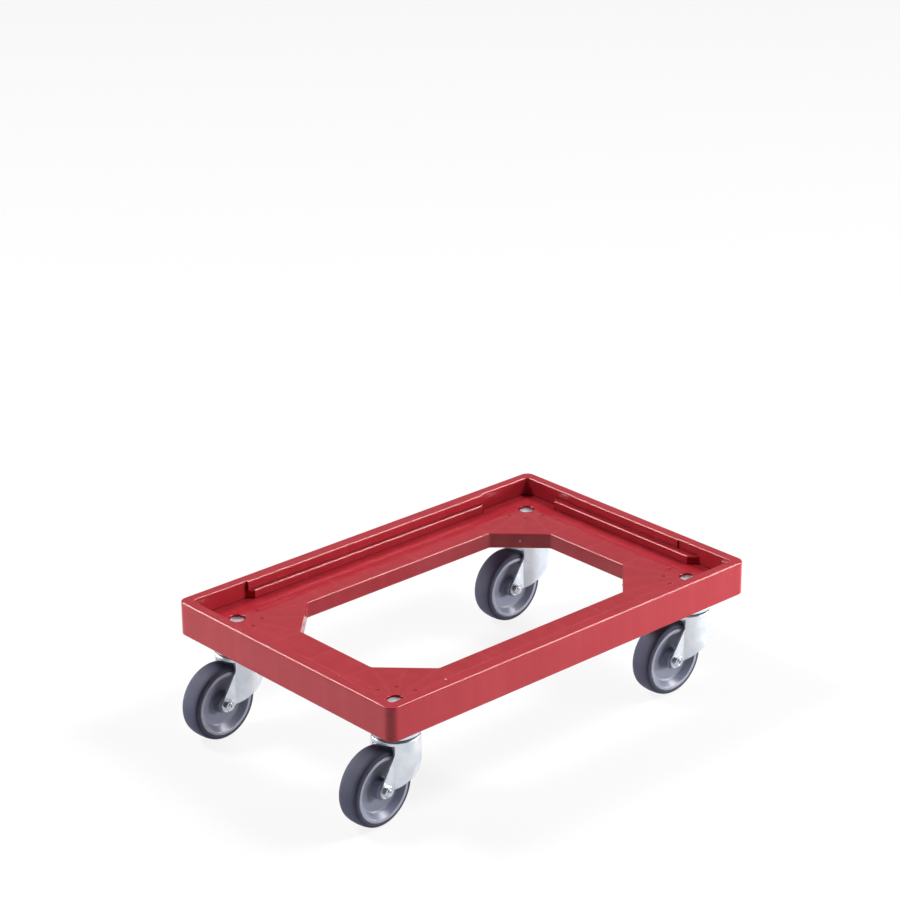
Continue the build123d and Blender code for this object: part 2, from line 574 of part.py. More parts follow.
with BuildPart() as axle_bolt:
    nut_side = LEG_OUTER + AXLE_NUT_HEIGHT + AXLE_BOLT_END
    bolt_end = Plane(WHEEL_CENTRE, x_dir=(1, 0, 0), z_dir=(0, 1, 0)).offset(-nut_side)
    with BuildSketch(bolt_end):
        Circle(AXLE_BOLT_RADIUS)
    extrude(amount=nut_side + LEG_OUTER)
    chamfer(axle_bolt.faces().sort_by(Axis.Y)[0].edges(), length=AXLE_END_CHAMFER)
    # Centre hole that the turning of the bolt left in its end
    with BuildSketch(bolt_end):
        Circle(AXLE_CENTRE_RADIUS)
    extrude(amount=AXLE_CENTRE_DEPTH, mode=Mode.SUBTRACT)
    with BuildSketch(Plane(WHEEL_CENTRE, x_dir=(1, 0, 0), z_dir=(0, 1, 0)).offset(LEG_OUTER)):
        RegularPolygon(AXLE_NUT_FLATS / 2, 6, major_radius=False)
    extrude(amount=AXLE_HEAD_HEIGHT)

with BuildPart() as axle_nut:
    with BuildSketch(Plane(WHEEL_CENTRE, x_dir=(1, 0, 0), z_dir=(0, -1, 0)).offset(LEG_OUTER)):
        RegularPolygon(AXLE_NUT_FLATS / 2, 6, major_radius=False)
    extrude(amount=AXLE_NUT_HEIGHT)
    # A cone trims the hexagon's six corners on the outer face
    with BuildSketch(WHEEL_SECTION):
        outer_face = LEG_OUTER + AXLE_NUT_HEIGHT
        corner = AXLE_NUT_FLATS / sqrt(3)
        with BuildLine():
            Polyline(
                (0, LEG_OUTER), (2 * corner, LEG_OUTER), (corner, outer_face - AXLE_END_CHAMFER),
                (AXLE_NUT_FLATS / 2, outer_face), (0, outer_face), close=True,
            )
        make_face()
    revolve(axis=AXLE_AXIS, mode=Mode.INTERSECT)
    with BuildSketch(VERTICAL_SECTION):
        with Locations((-TRAIL, AXLE_HEIGHT)):
            Circle(AXLE_BOLT_RADIUS + THREAD_CLEARANCE)
    extrude(amount=2 * CROWN_RADIUS, both=True, mode=Mode.SUBTRACT)

# Wheel: a dished hub with a lip at each side, and the tyre moulded between the lips
with BuildPart() as wheel_hub:
    with BuildSketch(WHEEL_SECTION) as hub_section:
        near_side = [
            (HUB_BORE_RADIUS, HUB_HALF), (HUB_BOSS_RADIUS, HUB_HALF),
            (HUB_BOSS_RADIUS, DISH_HALF - WEB_TAPER), (DISH_RADIUS, DISH_HALF),
            (LIP_INNER_RADIUS, LIP_HALF), (LIP_RADIUS, LIP_HALF),
            (LIP_RADIUS, LIP_INSIDE), (TYRE_BOND_RADIUS, LIP_INSIDE),
        ]
        far_side = [(radius, -across) for radius, across in reversed(near_side)]
        with BuildLine():
            Polyline(*near_side, *far_side, close=True)
        make_face()
        bends = [vertex for vertex in hub_section.vertices() if abs(abs(vertex.Y) - DISH_HALF) < 0.01]
        fillet(bends, radius=HUB_BEND_RADIUS)
    revolve(axis=AXLE_AXIS)

with BuildPart() as tyre:
    with BuildSketch(WHEEL_SECTION) as tyre_section:
        half = TYRE_WIDTH / 2
        tread_edge = WHEEL_RADIUS - TREAD_CROWN
        inside = LIP_INSIDE - BOND_GAP
        seat = TYRE_BOND_RADIUS + BOND_GAP
        above_lip = LIP_RADIUS + BOND_GAP
        with BuildLine():
            ThreePointArc((tread_edge, -half), (WHEEL_RADIUS, 0), (tread_edge, half))
            Polyline(
                (tread_edge, half), (above_lip, half), (above_lip, inside), (seat, inside),
                (seat, -inside), (above_lip, -inside), (above_lip, -half), (tread_edge, -half),
            )
        make_face()
        shoulders = [vertex for vertex in tyre_section.vertices() if abs(vertex.X - tread_edge) < 0.01]
        fillet(shoulders, radius=TYRE_SHOULDER_RADIUS)
    revolve(axis=AXLE_AXIS)

# Fasteners that are alike and fixed to the frame share one node each
with BuildPart() as mounting_bolts:
    with Locations(*CASTOR_POINTS):
        add(mounting_bolt.part)
with BuildPart() as mounting_washers:
    with Locations(*CASTOR_POINTS):
        add(mounting_washer.part)
with BuildPart() as mounting_nuts:
    with Locations(*CASTOR_POINTS):
        add(mounting_nut.part)

nodes = {
    "dolly_frame": dolly_frame.part,
    "mounting_bolts": mounting_bolts.part,
    "mounting_washers": mounting_washers.part,
    "mounting_nuts": mounting_nuts.part,
}
castors = {
    "front_left": (-1, -1, SWING_FRONT_LEFT),
    "rear_left": (-1, 1, SWING_REAR_LEFT),
    "rear_right": (1, 1, SWING_REAR_RIGHT),
    "front_right": (1, -1, SWING_FRONT_RIGHT),
}
castor_pieces = {
    "swivel_cup": swivel_cup.part,
    "lower_cup": lower_cup.part,
    "swivel_rivet": swivel_rivet.part,
    "upper_balls": upper_balls.part,
    "lower_balls": lower_balls.part,
    "fork": fork.part,
    "axle_bolt": axle_bolt.part,
    "axle_nut": axle_nut.part,
    "axle_sleeve": axle_sleeve.part,
    "wheel_hub": wheel_hub.part,
    "tyre": tyre.part,
}
for corner_name, (side_x, side_y, swing) in castors.items():
    place = Location((side_x * CASTOR_X, side_y * CASTOR_Y, 0), (0, 0, swing))
    for piece_name, piece in castor_pieces.items():
        nodes[corner_name + "_" + piece_name] = piece.moved(place)

whole_box = Compound(list(nodes.values())).bounding_box()
to_middle = Location((-(whole_box.min.X + whole_box.max.X) / 2, 0, 0))
os.makedirs("parts", exist_ok=True)
for node_name, node in nodes.items():
    placed = node.moved(to_middle)
    placed.label = node_name
    export_step(placed, "parts/" + node_name + ".step")
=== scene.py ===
import bpy
import json
from math import atan2, cos, pi, sin, tan
from mathutils import Matrix, Vector


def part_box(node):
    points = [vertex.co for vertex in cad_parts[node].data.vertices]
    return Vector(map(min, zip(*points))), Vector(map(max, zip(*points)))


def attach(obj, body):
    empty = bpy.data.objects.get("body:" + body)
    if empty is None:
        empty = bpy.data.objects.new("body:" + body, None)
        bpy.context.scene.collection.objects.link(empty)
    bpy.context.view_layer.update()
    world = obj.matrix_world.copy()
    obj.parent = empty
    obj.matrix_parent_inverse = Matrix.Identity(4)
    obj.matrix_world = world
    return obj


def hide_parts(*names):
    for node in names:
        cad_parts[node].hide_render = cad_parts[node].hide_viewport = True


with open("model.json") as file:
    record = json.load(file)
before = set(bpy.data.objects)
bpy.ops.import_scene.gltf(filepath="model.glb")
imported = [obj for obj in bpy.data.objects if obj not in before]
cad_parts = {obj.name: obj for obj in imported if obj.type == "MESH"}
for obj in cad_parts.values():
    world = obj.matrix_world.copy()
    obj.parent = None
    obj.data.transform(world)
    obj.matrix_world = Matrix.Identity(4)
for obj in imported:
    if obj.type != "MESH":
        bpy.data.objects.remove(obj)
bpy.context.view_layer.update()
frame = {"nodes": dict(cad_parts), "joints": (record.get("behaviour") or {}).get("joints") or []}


# Frame: one injection moulding in glossy red plastic, with a rim, a sunk deck and ledges for a crate.
# The ribs below draw the deck in a little as it cools, so faint sink lines run over them, painted a shade
# paler as a painted sheen. Open edges are painted paler, partly as wear and partly as a painted highlight.
# Hollow corners and small round marks are painted darker as a painted shade and made a little rougher,
# and the gates get pale spots, partly a paler gate scar and partly a painted highlight.

def put(tree, kind, inputs=None, **settings):
    """Add a shader node, set its properties, and feed its inputs with values or other nodes' outputs."""
    node = tree.nodes.new("ShaderNode" + kind)
    for name, value in settings.items():
        setattr(node, name, value)
    for name, value in (inputs or {}).items():
        if isinstance(value, bpy.types.NodeSocket):
            tree.links.new(value, node.inputs[name])
        else:
            node.inputs[name].default_value = value
    return node


def calc(tree, operation, *values):
    """Work out one number from others with a Math node."""
    return put(tree, "Math", dict(enumerate(values)), operation=operation).outputs[0]


def times(tree, first, second):
    """Multiply two numbers."""
    return calc(tree, "MULTIPLY", first, second)


def measure(tree, operation, *values):
    """Work out one number from vectors with a Vector Math node."""
    return put(tree, "VectorMath", dict(enumerate(values)), operation=operation).outputs["Value"]


def ramp(tree, value, low, high, start=0.0, end=1.0):
    """Turn a number from low to high into a soft step from start to end."""
    inputs = {"Value": value, "From Min": low, "From Max": high, "To Min": start, "To Max": end}
    return put(tree, "MapRange", inputs, interpolation_type="SMOOTHSTEP").outputs["Result"]


def noise(tree, place, scale, detail):
    """Make an uneven value from 0 to 1."""
    return put(tree, "TexNoise", {"Vector": place, "Scale": scale, "Detail": detail}).outputs["Fac"]


def feed(tree, sockets, values):
    """Link values to the sockets of these names."""
    for name, value in values.items():
        tree.links.new(value, sockets[name])


def new_group(name, inputs, outputs):
    """Start a shader node group with named sockets, and give the group, its inputs and its outputs."""
    group = bpy.data.node_groups.new(name, "ShaderNodeTree")
    for socket_name, value in inputs.items():
        kind = "NodeSocketFloat" if value is not None else "NodeSocketVector"
        socket = group.interface.new_socket(socket_name, in_out="INPUT", socket_type=kind)
        if value is not None:
            socket.default_value = value
    for socket_name, kind in outputs.items():
        group.interface.new_socket(socket_name, in_out="OUTPUT", socket_type="NodeSocket" + kind)
    return group, group.nodes.new("NodeGroupInput").outputs, group.nodes.new("NodeGroupOutput").inputs


# Skin: fine grain, slow cloudiness and a gentle waviness that bends reflections
moulded_skin, given, made = new_group(
    "moulded skin",
    {"Place": None, "Grain Scale": 1400.0, "Cloud Scale": 9.0},
    {"Grain": "Float", "Cloud": "Float", "Wave": "Float"},
)
waves_per_cloud = 2.6
wave_scale = times(moulded_skin, given["Cloud Scale"], waves_per_cloud)
feed(moulded_skin, made, {
    "Grain": noise(moulded_skin, given["Place"], given["Grain Scale"], detail=2.0),
    "Cloud": noise(moulded_skin, given["Place"], given["Cloud Scale"], detail=4.0),
    "Wave": noise(moulded_skin, given["Place"], wave_scale, detail=1.0),
})

# Edges: a small round on every open edge and a paler mask along it for wear, which the frame also uses as a
# painted highlight, and a mask of the hollow corners that light hardly reaches, which the frame paints in
# shade
edge_wear_and_highlight_group, given, made = new_group(
    "edge wear and highlight",
    {"Place": None, "Radius": 0.0006, "Patch Scale": 60.0},
    {"Edge": "Float", "Hollow": "Float", "Normal": "Vector"},
)
hollow_reach = 0.0025
rounded = put(edge_wear_and_highlight_group, "Bevel", {"Radius": given["Radius"]}, samples=6).outputs["Normal"]
flat = put(edge_wear_and_highlight_group, "NewGeometry").outputs["Normal"]
on_edge = ramp(edge_wear_and_highlight_group, measure(edge_wear_and_highlight_group, "DOT_PRODUCT", rounded, flat), 0.995, 0.85)
patches = noise(edge_wear_and_highlight_group, given["Place"], given["Patch Scale"], detail=3.0)
patchy = ramp(edge_wear_and_highlight_group, patches, 0.3, 0.6, 0.80, 1.0)
openness = put(
    edge_wear_and_highlight_group, "AmbientOcclusion", {"Distance": hollow_reach}, samples=6, only_local=True,
).outputs["AO"]
hollow = ramp(edge_wear_and_highlight_group, openness, 0.95, 0.60)
within_reach = calc(edge_wear_and_highlight_group, "SUBTRACT", 1.0, hollow)
# The edge mask: wear, and in the frame also a painted highlight
edge_wear_and_highlight = times(edge_wear_and_highlight_group, times(edge_wear_and_highlight_group, on_edge, patchy), within_reach)
bend = put(edge_wear_and_highlight_group, "Mix", {0: hollow, 4: rounded, 5: flat}, data_type="VECTOR").outputs[1]
feed(edge_wear_and_highlight_group, made, {"Edge": edge_wear_and_highlight, "Hollow": hollow, "Normal": bend})

# Hair scratches: two sets of thin broken lines that cross
hair_scratches, given, made = new_group(
    "hair scratches", {"Place": None, "Scale": 90.0}, {"Scratch": "Float"},
)
scratch_sets = []
for turn in (0.5, 2.1):
    stretched = put(hair_scratches, "Mapping", {
        "Vector": given["Place"], "Rotation": (0.2, 0.1, turn), "Scale": (1.0, 0.03, 1.0),
    }).outputs["Vector"]
    uneven = noise(hair_scratches, stretched, given["Scale"], detail=2.0)
    off_line = calc(hair_scratches, "ABSOLUTE", calc(hair_scratches, "SUBTRACT", uneven, 0.5))
    scratch_sets.append(ramp(hair_scratches, off_line, 0.006, 0.0))
crossed = calc(hair_scratches, "MAXIMUM", *scratch_sets)
areas = noise(hair_scratches, given["Place"], scale=14.0, detail=2.0)
broken = times(hair_scratches, crossed, ramp(hair_scratches, areas, 0.5, 0.62))
feed(hair_scratches, made, {"Scratch": broken})

# Ribs of one quarter of the frame, in metres from its centre: a fan round the castor's boss, straight
# ribs on from the opening's cut corner, one along each side, and short ones across the sides
half_length = 0.305
half_width = 0.205
boss = (0.252, 0.152)
cut_start = (0.159, 0.126)
cut_middle = (0.188, 0.097)
cut_end = (0.217, 0.068)
outer_corner = (0.301, 0.201)
rib_along_y = 0.1655
rib_along_x = 0.261
ribs_across_x = (0.0318, 0.0954)
fan_ends = (
    (cut_start[0], boss[1]), cut_start, cut_middle, cut_end, (boss[0], cut_end[1]),
    (boss[0], half_width), outer_corner, (half_length, boss[1]),
)
rib_lines = [(boss, end) for end in fan_ends]
rib_lines += [(cut_start, (cut_start[0], half_width)), (cut_end, (half_length, cut_end[1]))]
rib_lines += [((0.0, rib_along_y), (cut_start[0], rib_along_y))]
rib_lines += [((rib_along_x, 0.0), (rib_along_x, cut_end[1]))]
rib_lines += [((cut_end[0], 0.0), (half_length, 0.0))]
rib_lines += [((x, cut_start[1]), (x, half_width)) for x in ribs_across_x]
sink_width = 0.0055
deck_top = 0.152

# Round marks on a circle about each boss, and a gate in the middle of each of the opening's cut corners
mark_circle = 0.032
mark_points = [
    (boss[0] - mark_circle * cos(turn), boss[1] - mark_circle * sin(turn), 0.0)
    for turn in (0.0, pi / 4, pi / 2)
]
mark_fade = (0.0046, 0.0018)
mark_surround = (0.003, 0.005)
gate_height = 0.1415
gate_point = (*cut_middle, gate_height)
gate_fade = (0.0023, 0.0013)

deep_red = (0.400, 0.021, 0.032, 1.0)
full_red = (0.455, 0.027, 0.040, 1.0)
streak_red = (0.56, 0.050, 0.070, 1.0)
# Paler red along the sink lines: a painted sheen over the real dips
sink_sheen_red = (0.62, 0.075, 0.095, 1.0)
# Paler red for the open edges: partly wear, partly a painted highlight
wear_and_highlight_red = (0.85, 0.42, 0.42, 1.0)
# Painted shade: the dark red that hollow corners and round marks are painted towards
painted_shade_red = (0.10, 0.004, 0.008, 1.0)
scratch_red = (0.62, 0.16, 0.18, 1.0)
# Pale pink at the gates: partly a paler gate scar, partly a painted highlight
gate_scar_and_highlight_pink = (0.95, 0.38, 0.46, 1.0)
edge_radius = 0.00032
# How much painted shade and extra roughness the round marks get
mark_shade_and_dullness = 0.42


def new_material(name):
    """Start a material, and give it, its node tree, its Principled BSDF's inputs and each point's place."""
    material = bpy.data.materials.new(name)
    material.use_nodes = True
    tree = material.node_tree
    place = put(tree, "TexCoord").outputs["Object"]
    return material, tree, tree.nodes["Principled BSDF"].inputs, place


def use_group(tree, group, place, values=None):
    """Put a shared effect in a material with its own values, and give the effect's outputs."""
    return put(tree, "Group", {"Place": place, **(values or {})}, node_tree=group).outputs


def vector(tree, operation, *values):
    """Work out one vector from others with a Vector Math node."""
    return put(tree, "VectorMath", dict(enumerate(values)), operation=operation).outputs["Vector"]


def least(tree, values):
    """Give the least of several numbers."""
    found = values[0]
    for value in values[1:]:
        found = calc(tree, "MINIMUM", found, value)
    return found


def upright_streaks(tree, place, flatness, scale, detail):
    """Make an uneven value that runs in upright streaks, longer with less flatness."""
    squashed = put(tree, "Mapping", {"Vector": place, "Scale": (1.0, 1.0, flatness)}).outputs["Vector"]
    return noise(tree, squashed, scale, detail)


def blend_colours(tree, share, first, second):
    """Mix two colours by a share from 0 to 1."""
    return put(tree, "Mix", {0: share, 6: first, 7: second}, data_type="RGBA").outputs[2]


def coated(tree, colour, *coats):
    """Lay coats over a colour, each given by its mask, its strongest share and its own colour."""
    for mask, share, coat in coats:
        colour = blend_colours(tree, times(tree, mask, share), colour, coat)
    return colour


def roughened(tree, roughness, *marks):
    """Add to a roughness, each time given by a mask and the most that it adds."""
    for mask, most in marks:
        roughness = calc(tree, "ADD", roughness, times(tree, mask, most))
    return roughness


def relief(tree, normal, *heights):
    """Bend a normal by fine heights on the surface, each given by its value and its depth in metres."""
    for height, depth in heights:
        bump = put(tree, "Bump", {"Height": height, "Distance": depth, "Normal": normal})
        normal = bump.outputs["Normal"]
    return normal


def finish_node(node_name, material):
    """Give a carried-over node its finished material."""
    for material_slot in frame["nodes"][node_name].material_slots:
        material_slot.material = material


red_plastic, tree, shader, place = new_material("red_plastic")
frame_low, frame_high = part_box("dolly_frame")
frame_centre = (frame_low + frame_high) / 2
from_centre = vector(tree, "SUBTRACT", place, (frame_centre.x, frame_centre.y, 0.0))
in_quarter = vector(tree, "ABSOLUTE", from_centre)
in_plan = vector(tree, "MULTIPLY", in_quarter, (1.0, 1.0, 0.0))
rib_gaps = []
for start, end in rib_lines:
    run = Vector((*end, 0.0)) - Vector((*start, 0.0))
    reach = vector(tree, "SUBTRACT", in_plan, (*start, 0.0))
    along = measure(tree, "DOT_PRODUCT", reach, run / run.length_squared)
    on_run = put(tree, "Clamp", {"Value": along}).outputs["Result"]
    nearest = put(tree, "VectorMath", {0: run, "Scale": on_run}, operation="SCALE").outputs["Vector"]
    rib_gaps.append(measure(tree, "DISTANCE", reach, nearest))
to_rib = least(tree, rib_gaps)
to_mark = least(tree, [measure(tree, "DISTANCE", in_plan, point) for point in mark_points])
to_gate = measure(tree, "DISTANCE", in_quarter, gate_point)

upward = put(tree, "SeparateXYZ", {"Vector": put(tree, "NewGeometry").outputs["Normal"]}).outputs["Z"]
on_top = ramp(tree, upward, 0.6, 0.9)
height = put(tree, "SeparateXYZ", {"Vector": place}).outputs["Z"]
on_deck = times(tree, on_top, ramp(tree, height, deck_top + 0.004, deck_top + 0.001))
# The sink lines: a real dip in the bump, and a painted sheen in the colour
sink = times(tree, ramp(tree, to_rib, sink_width, 0.0), on_deck)
# Where the gates get their pale spot, partly a painted highlight
in_gate = ramp(tree, to_gate, *gate_fade)
in_mark = times(tree, ramp(tree, to_mark, *mark_fade), on_top)
off_marks = ramp(tree, to_mark, *mark_surround)
skin = use_group(tree, moulded_skin, place)
edges = use_group(tree, edge_wear_and_highlight_group, place, {"Radius": edge_radius})
scratch = times(tree, use_group(tree, hair_scratches, place)["Scratch"], on_top)
streaks = upright_streaks(tree, place, flatness=0.02, scale=55.0, detail=4.0)
# Painted highlight and wear along the open edges, kept off the round marks
frame_edge_wear_and_highlight = times(tree, edges["Edge"], off_marks)
# Painted shade in hollow corners and in the round marks; the same mask also makes them a little rougher
shade_and_dullness = calc(tree, "MAXIMUM", times(tree, edges["Hollow"], off_marks), times(tree, in_mark, mark_shade_and_dullness))

red = coated(
    tree, blend_colours(tree, skin["Cloud"], deep_red, full_red),
    (ramp(tree, streaks, 0.35, 0.75), 0.22, streak_red),
    (sink, 0.12, sink_sheen_red),
    (frame_edge_wear_and_highlight, 0.25, wear_and_highlight_red),
    (shade_and_dullness, 0.6, painted_shade_red),
    (scratch, 0.06, scratch_red),
    (in_gate, 0.8, gate_scar_and_highlight_pink),
)
polish = ramp(tree, skin["Grain"], 0.3, 0.7, 0.13, 0.19)
feed(tree, shader, {
    "Base Color": red,
    "Roughness": roughened(tree, polish, (scratch, 0.12), (shade_and_dullness, 0.06)),
    "Normal": relief(
        tree, edges["Normal"],
        (sink, -0.0001), (skin["Wave"], 0.00012), (skin["Grain"], 0.000006), (scratch, -0.000008),
    ),
})
shader["Specular IOR Level"].default_value = 0.36
finish_node("dolly_frame", red_plastic)


# Mounting bolts: steel bolts with a low domed head, bright zinc, one through each corner of the deck,
# with a washer and a nut below the castor's head. The heads were formed cold, so their skin is even
# and only a little cloudy.

def bright_steel(name, darker, paler, smoothest, roughest):
    """Make a zinc-plated fastener's finish: cloudy plating, paler edges, fine grain and hair scratches."""
    material, tree, shader, place = new_material(name)
    rubbed_steel = (0.82, 0.85, 0.88, 1.0)
    skin = use_group(tree, moulded_skin, place, {"Grain Scale": 2600.0, "Cloud Scale": 110.0})
    edges = use_group(tree, edge_wear_and_highlight_group, place, {"Radius": 0.0004, "Patch Scale": 300.0})
    scratch = use_group(tree, hair_scratches, place, {"Scale": 400.0})["Scratch"]
    steel = blend_colours(tree, ramp(tree, skin["Cloud"], 0.3, 0.7), darker, paler)
    polish = ramp(tree, skin["Cloud"], 0.3, 0.7, smoothest, roughest)
    feed(tree, shader, {
        "Base Color": blend_colours(tree, edges["Edge"], steel, rubbed_steel),
        "Roughness": roughened(tree, polish, (scratch, 0.15)),
        "Normal": relief(tree, edges["Normal"], (skin["Grain"], 0.000008)),
    })
    shader["Metallic"].default_value = 1.0
    return material


bolt_steel = bright_steel(
    "bolt_steel", darker=(0.60, 0.63, 0.68, 1.0), paler=(0.74, 0.77, 0.82, 1.0),
    smoothest=0.26, roughest=0.38,
)
for node_name in ("mounting_bolts", "mounting_washers", "mounting_nuts"):
    finish_node(node_name, bolt_steel)


# Castor heads: cups and forks pressed from sheet steel and zinc plated, with a hollow rivet that holds
# the two cups together. The plating is bluish white and satin, with a faint crystal cloud, and the
# press leaves fine upright draw lines.
corners = ("front_left", "rear_left", "rear_right", "front_right")
blue_zinc = (0.60, 0.65, 0.72, 1.0)
white_zinc = (0.72, 0.75, 0.79, 1.0)
rubbed_zinc = (0.86, 0.88, 0.90, 1.0)

zinc_plate, tree, shader, place = new_material("zinc_plate")
skin = use_group(tree, moulded_skin, place, {"Grain Scale": 1800.0, "Cloud Scale": 60.0})
edges = use_group(tree, edge_wear_and_highlight_group, place, {"Radius": 0.0007, "Patch Scale": 120.0})
scratch = use_group(tree, hair_scratches, place, {"Scale": 220.0})["Scratch"]
draw_lines = upright_streaks(tree, place, flatness=0.03, scale=900.0, detail=3.0)
zinc = blend_colours(tree, ramp(tree, skin["Cloud"], 0.3, 0.7), blue_zinc, white_zinc)
satin = ramp(tree, skin["Cloud"], 0.3, 0.7, 0.30, 0.40)
feed(tree, shader, {
    "Base Color": coated(tree, zinc, (edges["Edge"], 0.6, rubbed_zinc)),
    "Roughness": roughened(tree, satin, (draw_lines, 0.08), (scratch, 0.12)),
    "Normal": relief(
        tree, edges["Normal"],
        (draw_lines, 0.000012), (skin["Wave"], 0.00012), (skin["Grain"], 0.000006),
    ),
})
shader["Metallic"].default_value = 1.0
for corner in corners:
    for piece_name in ("swivel_cup", "lower_cup", "swivel_rivet", "fork"):
        finish_node(corner + "_" + piece_name, zinc_plate)


# Balls: hardened and polished, in two rings inside each castor head, with a film of grease that dulls
# them in patches.
polished_steel = (0.70, 0.71, 0.73, 1.0)
greased_steel = (0.42, 0.38, 0.30, 1.0)

ball_steel, tree, shader, place = new_material("ball_steel")
skin = use_group(tree, moulded_skin, place, {"Grain Scale": 900.0, "Cloud Scale": 240.0})
film = ramp(tree, skin["Cloud"], 0.45, 0.6)
feed(tree, shader, {
    "Base Color": blend_colours(tree, film, polished_steel, greased_steel),
    "Roughness": ramp(tree, film, 0.0, 1.0, 0.08, 0.35),
})
shader["Metallic"].default_value = 1.0
for corner in corners:
    finish_node(corner + "_upper_balls", ball_steel)
    finish_node(corner + "_lower_balls", ball_steel)


# Axles: a steel bolt through both legs of the fork, with a nut on the outer side and a sleeve between
# the legs that the wheel turns on. Bright zinc on turned and rolled steel, shinier than the mounting bolts.
axle_steel = bright_steel(
    "axle_steel", darker=(0.52, 0.55, 0.59, 1.0), paler=(0.66, 0.69, 0.73, 1.0),
    smoothest=0.10, roughest=0.18,
)
for corner in corners:
    for piece_name in ("axle_bolt", "axle_nut", "axle_sleeve"):
        finish_node(corner + "_" + piece_name, axle_steel)


# Wheel hubs: moulded in grey plastic, with a deep dish and a flat lip at each side, and a boss that
# runs on the axle's sleeve. The tool was turned, so faint rings run round the dish. The flat lips are
# painted paler, a painted light for the light they catch.

def rounded_line(points, steps=6):
    """Go along (radius, across, rounding) points and turn each corner that has a rounding into an arc."""
    line = []
    count = len(points)
    for index, (radius, across, rounding) in enumerate(points):
        here = Vector((radius, across))
        if not rounding:
            line.append(here)
            continue
        back = (Vector(points[index - 1][:2]) - here).normalized()
        ahead = (Vector(points[(index + 1) % count][:2]) - here).normalized()
        half = back.angle(ahead) / 2
        centre = here + (back + ahead).normalized() * rounding / sin(half)
        first = here + back * rounding / tan(half) - centre
        last = here + ahead * rounding / tan(half) - centre
        start = atan2(first.y, first.x)
        sweep = (atan2(last.y, last.x) - start + pi) % (2 * pi) - pi
        for step in range(steps + 1):
            turn = start + sweep * step / steps
            line.append(centre + rounding * Vector((cos(turn), sin(turn))))
    return line


def other_side(points):
    """Mirror the points of one side of a wheel to its other side, in the order that goes on from them."""
    return [(radius, -across, rounding) for radius, across, rounding in reversed(points)]


def turned_piece(name, outline, material, steps=144):
    """Spin a closed outline of (radius, across) points about the local Z axis into a piece."""
    spins = [2 * pi * step / steps for step in range(steps)]
    points = [(r * cos(spin), r * sin(spin), across) for spin in spins for r, across in outline]
    count = len(outline)
    faces = []
    for step in range(steps):
        near = step * count
        far = (step + 1) % steps * count
        for index in range(count):
            after = (index + 1) % count
            faces.append((near + index, far + index, far + after, near + after))
    mesh = bpy.data.meshes.new(name)
    mesh.from_pydata(points, [], faces)
    mesh.polygons.foreach_set("use_smooth", [True] * len(faces))
    mesh.set_sharp_from_angle(angle=pi / 5)
    mesh.materials.append(material)
    piece = bpy.data.objects.new(name, mesh)
    bpy.context.scene.collection.objects.link(piece)
    return piece


def place_on_axle(piece, corner):
    """Put a turned piece on its wheel's centre, with its Z axis along the axle, and let it roll."""
    roll = next(joint for joint in frame["joints"] if joint["name"] == corner + "_wheel_roll")
    along_axle = Vector(roll["axis"]).to_track_quat("Z", "X").to_matrix().to_4x4()
    piece.matrix_world = Matrix.Translation(roll["pos_m"]) @ along_axle
    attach(piece, corner + "_wheel")


def from_axle(tree, place):
    """Measure how far a point of a wheel is from its axle."""
    return measure(tree, "LENGTH", vector(tree, "MULTIPLY", place, (1.0, 1.0, 0.0)))


# One side's corners from the bore out to the tyre's seat: radius, half width there and rounding
hub_bore = 0.00605
hub_boss = 0.01305
hub_boss_half = 0.0166
hub_lip = 0.0423
hub_lip_half = 0.0156
tyre_seat = 0.0390
tyre_seat_half = 0.0138
hub_side = (
    (hub_bore, hub_boss_half, 0.0004),
    (hub_boss, hub_boss_half, 0.0010),
    (hub_boss, 0.0051, 0.0020),
    (0.0315, 0.0071, 0.0055),
    (0.0378, 0.0153, 0.0008),
    (0.0386, hub_lip_half, 0.0004),
    (hub_lip, hub_lip_half, 0.0009),
    (hub_lip, tyre_seat_half, 0.0),
    (tyre_seat, tyre_seat_half, 0.0),
)
hub_outline = rounded_line([*hub_side, *other_side(hub_side)])
# Where the lip's painted light fades in
lip_fade = (0.0374, 0.0384)
ring_turn_per_metre = 9000.0
dark_grey = (0.195, 0.209, 0.287, 1.0)
mid_grey = (0.242, 0.258, 0.347, 1.0)
lip_painted_light_grey = (0.38, 0.39, 0.46, 1.0)
rubbed_grey = (0.42, 0.43, 0.48, 1.0)

hub_plastic, tree, shader, place = new_material("hub_plastic")
skin = use_group(tree, moulded_skin, place, {"Grain Scale": 1500.0, "Cloud Scale": 26.0})
edges = use_group(tree, edge_wear_and_highlight_group, place, {"Radius": 0.0005, "Patch Scale": 150.0})
scratch = use_group(tree, hair_scratches, place, {"Scale": 180.0})["Scratch"]
radius = from_axle(tree, place)
rings = calc(tree, "SINE", times(tree, radius, ring_turn_per_metre))
# The lips are painted paler as painted light; the edges get a paler colour for wear
grey = coated(
    tree, blend_colours(tree, skin["Cloud"], dark_grey, mid_grey),
    (ramp(tree, radius, *lip_fade), 0.60, lip_painted_light_grey),
    (edges["Edge"], 0.35, rubbed_grey),
)
polish = ramp(tree, skin["Grain"], 0.3, 0.7, 0.28, 0.38)
feed(tree, shader, {
    "Base Color": grey,
    "Roughness": roughened(tree, polish, (scratch, 0.15)),
    "Normal": relief(
        tree, edges["Normal"],
        (rings, 0.000004), (skin["Wave"], 0.00015), (skin["Grain"], 0.000008),
    ),
})
for corner in corners:
    hub = turned_piece(corner + "_hub", hub_outline, hub_plastic)
    place_on_axle(hub, corner)
    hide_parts(corner + "_wheel_hub")


